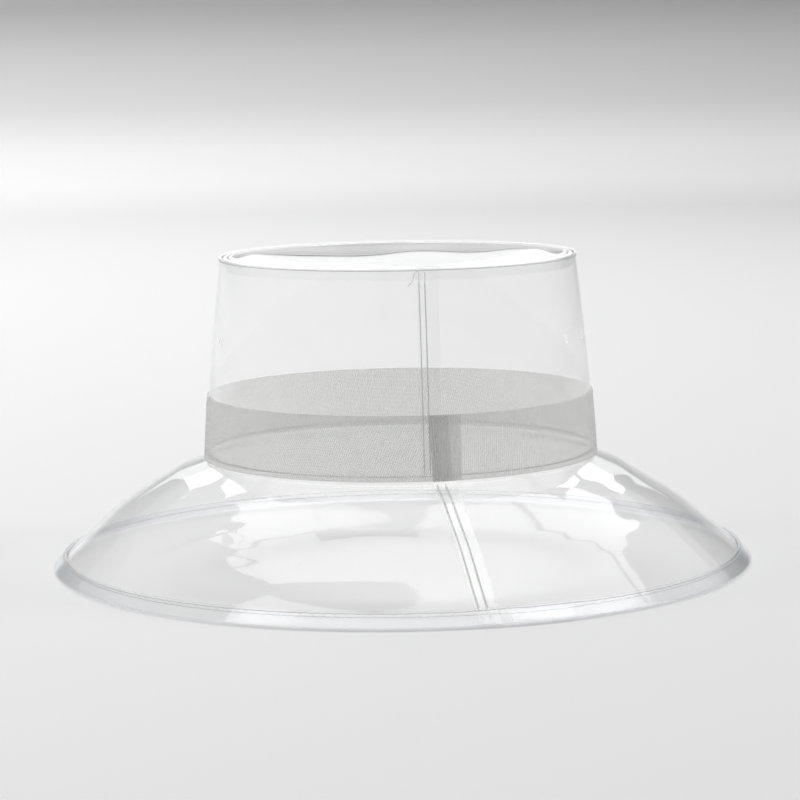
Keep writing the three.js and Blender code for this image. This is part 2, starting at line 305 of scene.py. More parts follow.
@dataclass(frozen=True)
class Wave:
    """A gentle wave round the hat that also drifts down the sheet."""

    crests: int
    phase: float
    height: float
    drift: float = 0.0

    def at(self, azimuth: Points, share: Points) -> Points:
        """Return its height at azimuths in degrees and shares of the way down the sheet."""
        return self.height * np.sin(np.radians(self.crests * azimuth + self.phase + self.drift * share))


@dataclass(frozen=True)
class Ripple:
    """How a soft sheet stands off its plain surface, in metres along its normal."""

    waves: tuple[Wave, ...] = ()
    dents: tuple[Dent, ...] = ()
    hold: Callable[[Points], Points] = staticmethod(lambda share: 1.0)

    def at(self, azimuth: Points, share: Points) -> Points:
        """Return the ripple at azimuths in radians and shares of the way down the sheet."""
        degrees = np.degrees(azimuth)
        waves = sum((w.at(degrees, share) for w in self.waves), np.zeros_like(share))
        return waves * self.hold(share) + sum(d.at(degrees, share) for d in self.dents)


@dataclass(frozen=True)
class Surface:
    """The lower face of a sheet, clear of its laps."""

    plan: HatPlan
    profile: Profile
    ripple: Ripple = Ripple()

    def place(self, offset: Points, turn: Points, down: Points, lift: Points) -> Points:
        """Return points on the surface.

        Args:
            offset: Distance to the right of the seam's cut edge.
            turn: Share of a full turn beyond that.
            down: Distance down the profile.
            lift: Distance off the lower face.

        Returns:
            The points, one a row.
        """
        radius, height, out_r, out_z = self.profile.at(down)
        azimuth = self.plan.seam(radius, height) + offset / np.maximum(radius, 1 * MM) + TURN * turn
        stand = lift + self.ripple.at(azimuth, down / self.profile.length)
        radius = radius + out_r * stand
        return np.stack([radius * np.sin(azimuth), -radius * np.cos(azimuth), height + out_z * stand], -1)

    def radius(self, down: Points) -> Points:
        """Return the plain radius at distances down the profile."""
        return self.profile.at(down)[0]


@dataclass
class Pattern:
    """A sheet's mesh before it is placed: its points, across and down, and the faces between them."""

    across: Points
    down: Points
    faces: list[tuple[int, ...]]

    @classmethod
    def grid(cls, across: Points, down: Points, closed: bool = False) -> "Pattern":
        """Return a plain grid.

        Args:
            across: Where the columns are.
            down: Where the rows are.
            closed: Whether the last column joins the first.

        Returns:
            The pattern, with points counted row by row.
        """
        columns, rows = len(across), len(down)
        spans = columns if closed else columns - 1
        faces = [
            (
                row * columns + column,
                (row + 1) * columns + column,
                (row + 1) * columns + (column + 1) % columns,
                row * columns + (column + 1) % columns,
            )
            for row in range(rows - 1)
            for column in range(spans)
        ]
        return cls(np.tile(across, rows), np.repeat(down, columns), faces)

    def punched(self, across: float, down: float, radius: float, width: float) -> "Pattern":
        """Return the pattern with a round hole through it.

        Args:
            across: The hole's middle.
            down: The hole's middle.
            radius: The hole's radius, in metres.
            width: Metres to one unit of across.

        Returns:
            The pattern with the hole's ring of faces sewn into the grid.
        """
        x = (self.across - across) * width
        y = self.down - down
        near = 1.6 * radius
        inside = (np.abs(x) < near) & (np.abs(y) < near)
        kept = [f for f in self.faces if not any(inside[i] for i in f)]
        gone = [f for f in self.faces if any(inside[i] for i in f)]
        sides = {(f[i], f[(i + 1) % 4]) for f in gone for i in range(4)}
        edge = [(a, b) for a, b in sides if (b, a) not in sides]
        ring = sorted({i for pair in edge for i in pair})
        angle = np.arctan2(y[ring], x[ring])
        count = len(self.across)
        rim = {old: count + i for i, old in enumerate(ring)}
        faces = kept + [(a, b, rim[b], rim[a]) for a, b in edge]
        return Pattern(
            np.concatenate([self.across, across + radius * np.cos(angle) / width]),
            np.concatenate([self.down, down + radius * np.sin(angle)]),
            faces,
        )

    def used(self) -> "Pattern":
        """Return the pattern without points that no face uses."""
        keep = sorted({i for f in self.faces for i in f})
        new = {old: i for i, old in enumerate(keep)}
        faces = [tuple(new[i] for i in f) for f in self.faces]
        return Pattern(self.across[keep], self.down[keep], faces)

    def open_sides(self) -> list[tuple[int, int]]:
        """Return the sides that only one face has, in that face's direction."""
        sides = {(f[i], f[(i + 1) % len(f)]) for f in self.faces for i in range(len(f))}
        return [(a, b) for a, b in sides if (b, a) not in sides]


def columns_round(count: int, crowding: float = 0.7) -> Points:
    """Return shares of a turn for a strip's columns, closer together near both ends."""
    t = np.linspace(0, 1, count + 1)
    return t - crowding * np.sin(TURN * t) / TURN


def make_shell(name: str, pattern: Pattern, under: Points, over: Points, cloth: Points) -> bpy.types.Object:
    """Make a thin closed sheet from its two faces.

    Args:
        name: The piece's name.
        pattern: The faces between its points.
        under: Points of the lower face.
        over: Points of the upper face.
        cloth: Distance round, distance down and distance from the seam at each point, in metres.

    Returns:
        The new object.
    """
    shape = bmesh.new()
    low = [shape.verts.new(p) for p in under]
    high = [shape.verts.new(p) for p in over]
    for face in pattern.faces:
        shape.faces.new([high[i] for i in face])
        shape.faces.new([low[i] for i in reversed(face)])
    rims = pattern.open_sides()
    for a, b in rims:
        shape.faces.new([high[b], high[a], low[a], low[b]])
        for ends in ((high[a], high[b]), (low[a], low[b])):
            shape.edges.get(ends).smooth = False
    for face in shape.faces:
        face.smooth = True
    mesh = bpy.data.meshes.new(name)
    shape.to_mesh(mesh)
    shape.free()
    run = mesh.attributes.new("cloth", "FLOAT_VECTOR", "POINT")
    run.data.foreach_set("vector", np.concatenate([cloth, cloth]).astype(np.float32).ravel())
    cut = mesh.attributes.new("cut", "FLOAT", "FACE")
    cut.data.foreach_set("value", [0.0] * (2 * len(pattern.faces)) + [1.0] * len(rims))
    lower = mesh.attributes.new("lower", "FLOAT", "FACE")
    lower.data.foreach_set("value", [0.0, 1.0] * len(pattern.faces) + [0.0] * len(rims))
    piece = bpy.data.objects.new(name, mesh)
    bpy.context.scene.collection.objects.link(piece)
    return piece


def wrapped(offset: Points, round_: Points) -> Points:
    """Return distances round the hat measured the nearer way from the seam."""
    return offset - round_ * np.round(offset / round_)


# ---- Shader maths ----


class Value:
    """A value socket that takes part in Python arithmetic, each step adding its Math node."""

    def __init__(self, tree: bpy.types.NodeTree, socket: Socket) -> None:
        """Wrap an output socket of a node tree."""
        self.tree = tree
        self.socket = socket

    def math(self, operation: str, *inputs: "Value | float", clamp: bool = False) -> "Value":
        """Add a Math node.

        Args:
            operation: The node's operation.
            inputs: What it works on, in order.
            clamp: Whether the result stays from 0 to 1.

        Returns:
            The node's result.
        """
        node = self.tree.nodes.new("ShaderNodeMath")
        node.operation = operation
        node.use_clamp = clamp
        for socket, value in zip(node.inputs, inputs):
            if isinstance(value, Value):
                self.tree.links.new(value.socket, socket)
            else:
                socket.default_value = value
        return Value(self.tree, node.outputs[0])

    def __add__(self, other: "Value | float") -> "Value":
        """Return self + other."""
        return self.math("ADD", self, other)

    __radd__ = __add__

    def __sub__(self, other: "Value | float") -> "Value":
        """Return self - other."""
        return self.math("SUBTRACT", self, other)

    def __rsub__(self, other: float) -> "Value":
        """Return other - self."""
        return self.math("SUBTRACT", other, self)

    def __mul__(self, other: "Value | float") -> "Value":
        """Return self * other."""
        return self.math("MULTIPLY", self, other)

    __rmul__ = __mul__

    def __truediv__(self, other: "Value | float") -> "Value":
        """Return self / other."""
        return self.math("DIVIDE", self, other)

    def __pow__(self, other: float) -> "Value":
        """Return self to a power."""
        return self.math("POWER", self, other)

    def __abs__(self) -> "Value":
        """Return the size of self."""
        return self.math("ABSOLUTE", self)

    def sine(self) -> "Value":
        """Return the sine of self, in radians."""
        return self.math("SINE", self)

    def within(self, low: float, high: float) -> "Value":
        """Return self clamped between two numbers."""
        return self.math("MINIMUM", self.math("MAXIMUM", self, low), high)

    def bell(self, middle: float, width: float) -> "Value":
        """Return 1 at the middle, falling softly to nothing over the width on each side."""
        return (1 - abs(self - middle) / width).within(0.0, 1.0) ** 1.5


class Bench:
    """Where a material's or the world's nodes are made."""

    def __init__(self, owner: bpy.types.Material | bpy.types.World) -> None:
        """Clear the owner's nodes."""
        owner.use_nodes = True
        self.tree = owner.node_tree
        self.tree.nodes.clear()

    def node(
        self,
        kind: str,
        settings: Mapping[str, object] | None = None,
        inputs: Mapping[str, object] | None = None,
    ) -> bpy.types.Node:
        """Add a node.

        Args:
            kind: The node's type, without its ShaderNode prefix.
            settings: Properties of the node, set first. A ramp's stops are a list of place and grey.
            inputs: Values or links of its sockets, by name.

        Returns:
            The node.
        """
        node = self.tree.nodes.new("ShaderNode" + kind)
        for name, value in (settings or {}).items():
            if name == "stops":
                self._set_stops(node.color_ramp, value)
            else:
                setattr(node, name, value)
        for name, value in (inputs or {}).items():
            socket = node.inputs[name]
            if isinstance(value, Value):
                self.tree.links.new(value.socket, socket)
            elif isinstance(value, Socket):
                self.tree.links.new(value, socket)
            else:
                socket.default_value = value
        return node

    @staticmethod
    def _set_stops(ramp: bpy.types.ColorRamp, stops: Sequence[tuple[float, float]]) -> None:
        """Give a ramp its grey stops.

        Args:
            ramp: The ramp.
            stops: Place and grey of each stop, in order.
        """
        while len(ramp.elements) < len(stops):
            ramp.elements.new(1.0)
        for element, (place, grey) in zip(ramp.elements, stops):
            element.position = place
            element.color = (grey, grey, grey, 1.0)

    def value(self, socket: Socket) -> Value:
        """Return a socket ready for arithmetic."""
        return Value(self.tree, socket)

    def cloth(self) -> tuple[Value, Value, Value]:
        """Return distance round, distance down and distance from the seam on a sheet, in metres."""
        run = self.node("Attribute", {"attribute_name": "cloth"})
        parts = self.node("SeparateXYZ", inputs={"Vector": run.outputs["Vector"]})
        return tuple(self.value(s) for s in parts.outputs)

    def mark(self, name: str) -> Value:
        """Return a sheet's mark, "cut" for its cut edges or "lower" for its lower or inner face."""
        return self.value(self.node("Attribute", {"attribute_name": name}).outputs["Fac"])

    def noise(self, scale: float, detail: float = 2.0) -> Value:
        """Return a noise that is fixed to the piece, with so many features to the metre."""
        place = self.node("TexCoord").outputs["Object"]
        node = self.node("TexNoise", inputs={"Vector": place, "Scale": scale, "Detail": detail})
        return self.value(node.outputs["Fac"])

    def bump(self, height: Value, distance: float, strength: float = 1.0) -> Socket:
        """Return a normal that is raised by a height of 0 to 1 over a distance in metres."""
        node = self.node("Bump", inputs={"Height": height, "Distance": distance, "Strength": strength})
        return node.outputs["Normal"]

    def blend(self, factor: Value, first: Sequence[float], second: Sequence[float]) -> Socket:
        """Return a colour between two.

        Args:
            factor: Share of the second colour.
            first: Red, green and blue where the factor is 0.
            second: Red, green and blue where the factor is 1.

        Returns:
            The colour.
        """
        mix = self.node("Mix", {"data_type": "RGBA"}, {"Factor": factor})
        mix.inputs[6].default_value = (*first, 1.0)
        mix.inputs[7].default_value = (*second, 1.0)
        return mix.outputs[2]

    def surface(self, shader: Socket) -> None:
        """Send a shader to the output."""
        kind = "OutputWorld" if isinstance(self.tree.id_data, bpy.types.World) else "OutputMaterial"
        self.node(kind, inputs={"Surface": shader})


# ---- Finishes ----


@dataclass(frozen=True)
class StitchPuckers:
    """Where rows of stitches pull small dimples into a sheet beside its seam."""

    rows: tuple[float, ...]
    pitch: float
    half_width: float = 1.3 * MM


@dataclass(frozen=True)
class Finish:
    """A material made of one principled shader."""

    name: str

    def make(self) -> bpy.types.Material:
        """Return the material."""
        material = bpy.data.materials.new(self.name)
        bench = Bench(material)
        shade = bench.node("BsdfPrincipled", inputs=self.inputs(bench))
        bench.surface(shade.outputs["BSDF"])
        return material

    def inputs(self, bench: Bench) -> Mapping[str, object]:
        """Return the shader's inputs, by name."""
        raise NotImplementedError


@dataclass(frozen=True)
class ClearVinyl(Finish):
    """Clear soft vinyl: each face mirrors a little head on and a lot at a grazing angle."""

    tint: tuple[float, float, float] = (0.985, 0.99, 0.99)
    head_on: float = 0.034
    haze: float = 0.004
    edge: float = 0.12
    roughness: float = 0.035
    puckers: StitchPuckers | None = None

    def inputs(self, bench: Bench) -> Mapping[str, object]:
        """Return the shader's inputs, by name."""
        cut = bench.mark("cut")
        facing = bench.value(bench.node("LayerWeight", inputs={"Blend": 0.5}).outputs["Facing"])
        clouds = bench.noise(55.0, 3.0)
        mirror = self.head_on + (1 - self.head_on) * facing**5.0
        alpha = mirror + (clouds - 0.3) * (2 * self.haze) + cut * self.edge
        dimples = clouds * 0.35
        if self.puckers is not None:
            dimples = dimples + self._puckers(bench)
        rough = self.roughness + clouds * 0.03 + cut * 0.25
        return {
            "Base Color": (*self.tint, 1.0),
            "Metallic": 0.86,
            "Roughness": rough,
            "Alpha": alpha.within(0.0, 1.0),
            "Normal": bench.bump(dimples, 0.12 * MM),
        }

    def _puckers(self, bench: Bench) -> Value:
        """Return the height of the dimples that the rows of stitches pull.

        Args:
            bench: Where the material's nodes are made.

        Returns:
            The height, from -1 to 1, and nothing away from the rows.
        """
        _, down, across = bench.cloth()
        pull = (down * (TURN / self.puckers.pitch)).sine()
        near = sum(across.bell(row, self.puckers.half_width) for row in self.puckers.rows)
        return near * pull


@dataclass(frozen=True)
class RibbonWeave(Finish):
    """Grosgrain ribbon: fine ribs across it, thin enough to let light through, with its inner face painted
    paler and its outer face painted darker as painted light and shade.
    """

    # Painted light and shade: the inner face's colour is painted pale as if lit, and the outer face's is
    # painted dark as if shaded.
    inner: tuple[float, float, float] = (0.88, 0.885, 0.87)
    outer: tuple[float, float, float] = (0.60, 0.605, 0.58)
    rib: float = 1.0 * MM
    cover: float = 0.31
    height: float = 30 * MM

    def inputs(self, bench: Bench) -> Mapping[str, object]:
        """Return the shader's inputs, by name."""
        run, down, _ = bench.cloth()
        clouds = bench.noise(90.0, 3.0)
        fibres = bench.noise(1500.0, 2.0)
        ribs = (run * (TURN / self.rib)).sine() * 0.5 + 0.5
        weft = (down * (TURN / (0.32 * MM))).sine() * 0.5 + 0.5
        hem = down.bell(0.0, 1.0 * MM) + down.bell(self.height, 1.0 * MM)
        # Painted light and shade: the lower mark paints the inner face paler and the outer face darker. The
        # noises add random tone.
        tone_and_painted_shade = bench.mark("lower") * 0.75 + clouds * 0.12 + fibres * 0.13
        colour = bench.blend(tone_and_painted_shade.within(0, 1), self.outer, self.inner)
        cover = self.cover + (ribs - 0.5) * 0.14 + hem * 0.10 + (clouds - 0.5) * 0.06
        return {
            "Base Color": colour,
            "Roughness": 0.62 + fibres * 0.25,
            "Alpha": cover.within(0.0, 1.0),
            "Sheen Weight": 0.25,
            "Sheen Roughness": 0.4,
            "Specular IOR Level": 0.35,
            "Normal": bench.bump(ribs * 0.6 + weft * 0.25 + fibres * 0.5, 0.08 * MM),
        }


@dataclass(frozen=True)
class SewingThread(Finish):
    """Pale spun thread with a slight gloss."""

    light: tuple[float, float, float] = (0.80, 0.81, 0.81)
    dark: tuple[float, float, float] = (0.60, 0.61, 0.61)
    cover: float = 0.6

    def inputs(self, bench: Bench) -> Mapping[str, object]:
        """Return the shader's inputs, by name."""
        strands = bench.noise(2600.0, 2.0)
        colour = bench.blend(strands, self.dark, self.light)
        return {
            "Base Color": colour,
            "Roughness": 0.45 + strands * 0.3,
            "Alpha": self.cover,
            "Sheen Weight": 0.2,
            "Normal": bench.bump(strands, 0.05 * MM),
        }


@dataclass(frozen=True)
class PaperSweep(Finish):
    """The plain pale paper that the hat stands on, with painted shade: graded darker up the cove and darker
    towards +X.
    """

    stops: tuple[tuple[float, float], ...]
    top: float
    painted_side_shade: float = 0.18

    def inputs(self, bench: Bench) -> Mapping[str, object]:
        """Return the shader's inputs, by name."""
        place = bench.node("TexCoord").outputs["Object"]
        parts = bench.node("SeparateXYZ", inputs={"Vector": place})
        height = bench.value(parts.outputs["Z"]) / self.top
        # Painted shade: the ramp greys the paper darker up the cove, as light falls off with height.
        ramp = bench.node("ValToRGB", {"stops": self.stops}, {"Fac": height})
        grain = bench.noise(400.0, 2.0)
        # Painted shade: darker towards +X and paler towards -X, as light falls across the sweep.
        fall = (1 - bench.value(parts.outputs["X"]) * self.painted_side_shade).within(0.6, 1.15)
        tone_and_painted_shade = bench.value(ramp.outputs["Color"]) * fall
        paper = bench.node("CombineColor", inputs={"Red": tone_and_painted_shade, "Green": tone_and_painted_shade, "Blue": tone_and_painted_shade})
        return {
            "Base Color": paper.outputs["Color"],
            "Roughness": 0.9,
            "Specular IOR Level": 0.0,
            "Normal": bench.bump(grain, 0.02 * MM, 0.1),
        }


@dataclass(frozen=True)
class FlagCloth(Finish):
    """Plain dark cloth."""

    def inputs(self, bench: Bench) -> Mapping[str, object]:
        """Return the shader's inputs, by name."""
        return {"Base Color": (0.02, 0.02, 0.02, 1.0), "Roughness": 0.9}


# ---- Sewing ----


@dataclass(frozen=True)
class Lockstitch:
    """How a row of stitches lies on a sheet."""

    pitch: float = 2.6 * MM
    dip: float = 0.3 * MM
    arch: float = 0.10 * MM

    # Share of a stitch, and how far up its arch the thread is there.
    STEPS = ((0.0, -1.0), (0.10, 0.55), (0.28, 0.95), (0.5, 1.0), (0.72, 0.95), (0.90, 0.55))

    def row(self, length: float, thread: float) -> tuple[Points, Points]:
        """Return where a row's points are along it, and how far each is off the sheet's face.

        Args:
            length: The row's length.
            thread: The thread's diameter.

        Returns:
            Shares of the row's length from 0 up to 1, and distances off the face.
        """
        count = max(round(length / self.pitch), 1)
        shares = [(stitch + at) / count for stitch in range(count) for at, _ in self.STEPS]
        rises = [thread / 2 + self.arch * up if up > 0 else -self.dip for _, up in self.STEPS]
        return np.array(shares), np.array(rises * count)


def make_thread(name: str, runs: Sequence[Points], thread: float, closed: bool) -> bpy.types.Object:
    """Make a sewing thread.

    Args:
        name: The piece's name.
        runs: The points of each run of thread.
        thread: Its diameter.
        closed: Whether the first run joins its own start.

    Returns:
        The new object.
    """
    curve = bpy.data.curves.new(name, "CURVE")
    curve.dimensions = "3D"
    curve.bevel_depth = thread / 2
    curve.bevel_resolution = 1
    curve.use_fill_caps = not closed
    for number, points in enumerate(runs):
        spline = curve.splines.new("POLY")
        spline.points.add(len(points) - 1)
        spline.points.foreach_set("co", np.column_stack([points, np.ones(len(points))]).ravel())
        spline.use_cyclic_u = closed and number == 0
        spline.use_smooth = True
    piece = bpy.data.objects.new(name, curve)
    bpy.context.scene.collection.objects.link(piece)
    return piece


def dress(piece: bpy.types.Object, material: bpy.types.Material) -> None:
    """Give a piece its material, hang it on the frame's root, and hide the CAD part that it stands for.

    Args:
        piece: The piece, which already names its CAD node.
        material: Its material.
    """
    piece.data.materials.append(material)
    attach(piece, "root")
    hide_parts(piece["stands_for"])
    LOG.info("made %s", piece.name)


def name_piece(piece: bpy.types.Object, node: str) -> bpy.types.Object:
    """Note which CAD node a piece stands for."""
    piece["stands_for"] = node
    return piece


def sew(
    node: str, runs: Sequence[Points], thread: float, closed: bool, material: bpy.types.Material
) -> None:
    """Make and dress the thread of one row of stitches.

    Args:
        node: The CAD node that the thread stands for.
        runs: The points of each run of thread.
        thread: Its diameter.
        closed: Whether the first run joins its own start.
        material: The thread's material.
    """
    piece = name_piece(make_thread(f"{node}_stitches", runs, thread, closed), node)
    dress(piece, material)


# ---- The hat's sub-assemblies ----

# Which thread of a lockstitch lies on a sheet's outside.
SIDES = (("needle", True), ("bobbin", False))


@dataclass
class Crown:
    """The crown wall, its tip and the rows of stitches in them."""

    plan: HatPlan
    vinyl: ClearVinyl
    thread: bpy.types.Material
    columns: int = 420
    row_spacing: float = 1.6 * MM
    vent_radius: float = 1.9 * MM
    vent_height: float = 109 * MM
    vent_azimuths: tuple[float, ...] = (-86.0, -70.0, 60.5, 76.0)
    tip_row: float = 145.1 * MM
    joint_row: float = 3.2 * MM
    tip_spokes: int = 240
    # Width by a rounded length round the curve. The curved strip itself needs a 135 by 581 mm blank.
    declared_flat: tuple[float, float] = (0.096, 0.600)
    row_offsets: tuple[float, float] = (-3.5 * MM, -0.9 * MM)
    stitch: Lockstitch = Lockstitch()
    wall_ripple: Ripple = Ripple(
        waves=(Wave(5, 40, 0.16 * MM, 60), Wave(9, 150, 0.07 * MM, -120), Wave(3, 10, 0.15 * MM, 30)),
        dents=(
            Dent(5.0, 0.012, 3.0, 0.02, -0.45 * MM, 1.5),
            Dent(10.0, 0.02, 2.0, 0.03, 0.40 * MM, -1.0),
            Dent(2.0, 0.03, 1.6, 0.03, 0.32 * MM, 1.2),
            Dent(58.0, 0.25, 12.0, 0.16, 0.5 * MM, 4.0),
        ),
        hold=staticmethod(lambda share: 0.35 + 0.65 * np.sin(math.pi * np.clip(share, 0, 1))),
    )

    def __post_init__(self) -> None:
        """Work out the wall's surface."""
        heights = np.linspace(self.plan.wall_top, self.plan.wall_foot, 40)
        corners = [(float(self.plan.wall_radius(z)), float(z), 0.0) for z in heights]
        self.wall = Surface(self.plan, Profile(corners), self.wall_ripple)

    def base(self, offset: Points, height: Points) -> Points:
        """Return how far the brim's lap lifts the foot of the wall."""
        fade = smooth((self.plan.joint + 29 * MM - height) / (24 * MM))
        return swell(offset, self.plan.brim_lap, self.plan.stock.layer) * fade

    def wall_points(self, pattern: Pattern, lift: float) -> tuple[Points, Points]:
        """Return points of the wall and where they are on the cloth.

        Args:
            pattern: The wall's pattern.
            lift: Distance off the wall's inside face.

        Returns:
            The points, and distance round, down and from the seam at each.
        """
        plan, lap = self.plan, self.plan.wall_lap
        round_ = TURN * self.wall.radius(pattern.down)
        offset = lap.start + (lap.end - lap.start) * pattern.across
        run = offset + round_ * pattern.across
        height = self.wall.profile.at(pattern.down)[1]
        near = wrapped(run, round_)
        stand = own_lift(run, lap, plan.stock.layer) + self.base(near, height) + lift
        points = self.wall.place(offset, pattern.across, pattern.down, stand)
        return points, np.stack([run, pattern.down, near], -1)

    def make_wall(self) -> bpy.types.Object:
        """Return the lapped wall with its vent holes.

        Returns:
            The wall, before it has a material.
        """
        plan, lap = self.plan, self.plan.wall_lap
        rows = self.wall.profile.rows(self.row_spacing)
        pattern = Pattern.grid(columns_round(self.columns), rows)
        down = self.wall.profile.down_to(self.vent_height)
        radius = float(self.wall.radius(down))
        lead = float(plan.seam(radius, self.vent_height)) + lap.start / radius
        span = TURN + (lap.end - lap.start) / radius
        for degrees in self.vent_azimuths:
            across = ((math.radians(degrees) - lead) % TURN) / span
            pattern = pattern.punched(across, down, self.vent_radius, span * radius)
        pattern = pattern.used()
        under, cloth = self.wall_points(pattern, 0.0)
        over, _ = self.wall_points(pattern, plan.stock.sheet)
        piece = name_piece(make_shell("crown_wall_sheet", pattern, under, over, cloth), "crown_wall")
        round_ = TURN * plan.wall_radius(0.5 * (plan.wall_foot + plan.wall_top)) + lap.end - lap.start
        length = self.wall.profile.length
        float(round_ * length)
        return piece

    def tip_height(self, x: Points, y: Points) -> Points:
        """Return how far the tip's soft sheet stands above its seam.

        Args:
            x: Distance to the right of the middle.
            y: Distance behind the middle.

        Returns:
            The height at each point, which is nothing at the seam.
        """
        reach = np.hypot(x, y) / self.plan.tip_radius
        hold = smooth((1 - reach) / 0.16)
        ridge_y = (-30 + 5 * np.sin(x / (17 * MM)) + 3 * np.sin(x / (9 * MM) + 1.0)) * MM
        ahead = np.hypot(ridge_y - y, 3 * MM) - 3 * MM
        before = np.clip(1 - ahead / (56 * MM), 0, 1)
        drop = np.exp(-(((y - ridge_y) / (9 * MM)) ** 2))
        fall = smooth(1 - (y - ridge_y) / (self.plan.tip_radius - ridge_y))
        crest = np.where(y < ridge_y, before, 0.35 * drop + 0.65 * fall)
        height = (2.8 + 0.35 * np.sin(x / (13 * MM) + 0.6) + 0.2 * np.sin(x / (6.5 * MM))) * MM * crest
        lump = 1.5 * MM * np.exp(-(((x - 60 * MM) / (15 * MM)) ** 2) - ((y + 30 * MM) / (20 * MM)) ** 2)
        return hold * (height + lump)

    def make_tip(self) -> bpy.types.Object:
        """Return the tip with its allowance turned down inside the wall.

        Returns:
            The tip, before it has a material.
        """
        plan, thick = self.plan, self.plan.stock.sheet
        foot = float(plan.wall_radius(plan.flange_foot)) - plan.tip_gap - thick
        rim = plan.tip_radius - thick
        profile = Profile([
            (0.0, plan.tip_top - thick, 0.0),
            (rim, plan.tip_top - thick, 0.9 * MM),
            (foot, plan.flange_foot, 0.0),
        ])
        rows = profile.rows(2.2 * MM)[1:]
        spokes = self.tip_spokes
        pattern = Pattern.grid(np.linspace(0, 1, spokes + 1)[:-1], rows, closed=True)
        middle = len(pattern.across)
        fan = [(middle, i, (i + 1) % spokes) for i in range(spokes)]
        pattern = Pattern(
            np.append(pattern.across, 0.0), np.append(pattern.down, 0.0), pattern.faces + fan
        )
        surface = Surface(plan, profile)

        def points(lift: float) -> Points:
            """Return the tip's points at a distance off its lower face."""
            offset, stand = np.zeros(middle + 1), np.full(middle + 1, lift)
            found = surface.place(offset, pattern.across, pattern.down, stand)
            on_top = np.where(pattern.down < rim, 1.0, 0.0)
            found[:, 2] += on_top * self.tip_height(found[:, 0], found[:, 1])
            return found

        flat = points(0.0)
        run = np.stack([flat[:, 0], flat[:, 1], pattern.down - rim], -1)
        piece = name_piece(make_shell("crown_tip_sheet", pattern, flat, points(thick), run), "crown_tip")
        return piece

    def ring(self, height: float, outside: bool) -> Points:
        """Return a row of stitches round the wall.

        Args:
            height: The row's height.
            outside: Whether it lies on the wall's outside.

        Returns:
            The points of the thread.
        """
        plan, stock = self.plan, self.plan.stock
        down = self.wall.profile.down_to(height)
        radius = float(self.wall.radius(down))
        share, rise = self.stitch.row(TURN * radius, stock.thread)
        near = wrapped(share * TURN * radius, TURN * radius)
        lap = swell(near, plan.wall_lap, stock.layer) + self.base(near, np.full_like(near, height))
        face = lap + stock.sheet if outside else np.full_like(near, -stock.layer - 0.3 * MM)
        stand = face + rise if outside else face - rise
        return self.wall.place(np.zeros_like(share), share, np.full_like(share, down), stand)

    def seam_row(self, offset: float, outside: bool) -> Points:
        """Return one row of the crown seam.

        Args:
            offset: Distance to the right of the seam's line.
            outside: Whether it lies on the lap's outside.

        Returns:
            The points of the thread.
        """
        plan, stock = self.plan, self.plan.stock
        if outside:
            top, foot = self.tip_row - 0.8 * MM, plan.joint + 4.2 * MM
        else:
            top, foot = plan.flange_foot - 1.5 * MM, plan.collar_top + 1.5 * MM
        high, low = self.wall.profile.down_to(top), self.wall.profile.down_to(foot)
        share, rise = self.stitch.row(low - high, stock.thread)
        down = high + share * (low - high)
        height = self.wall.profile.at(down)[1]
        base = self.base(np.full_like(down, offset), height)
        stand = base + stock.layer + stock.sheet + rise if outside else base - rise
        return self.wall.place(np.full_like(down, offset), np.zeros_like(down), down, stand)

    def tail(self) -> Points:
        """Return the short loose end of thread at the top of the crown seam.

        Returns:
            The points of the thread.
        """
        plan, stock = self.plan, self.plan.stock
        share = np.linspace(0, 1, 14)
        down = self.wall.profile.down_to(self.tip_row) + share * 7.0 * MM
        offset = self.row_offsets[0] - (4.6 * share**0.8 + 0.5 * np.sin(7 * share)) * MM
        lift = np.where(offset > plan.wall_lap.start, stock.layer, 0) + stock.sheet + 0.3 * MM
        return self.wall.place(offset, np.zeros_like(down), down, lift + 0.4 * MM * np.sin(3 * share))

    def build(self) -> None:
        """Make and dress the crown's pieces."""
        clear = self.vinyl.make()
        dress(self.make_wall(), clear)
        dress(self.make_tip(), clear)
        thick = self.plan.stock.thread
        rings = (("tip", self.tip_row), ("joint", self.plan.joint + self.joint_row))
        for side, outside in SIDES:
            for seam, height in rings:
                sew(f"{seam}_seam_{side}_thread", [self.ring(height, outside)], thick, True, self.thread)
            for place, offset in zip(("left", "right"), self.row_offsets):
                runs = [self.seam_row(offset, outside)]
                if outside and place == "left":
                    runs.append(self.tail())
                sew(f"crown_seam_{place}_{side}_thread", runs, thick, False, self.thread)


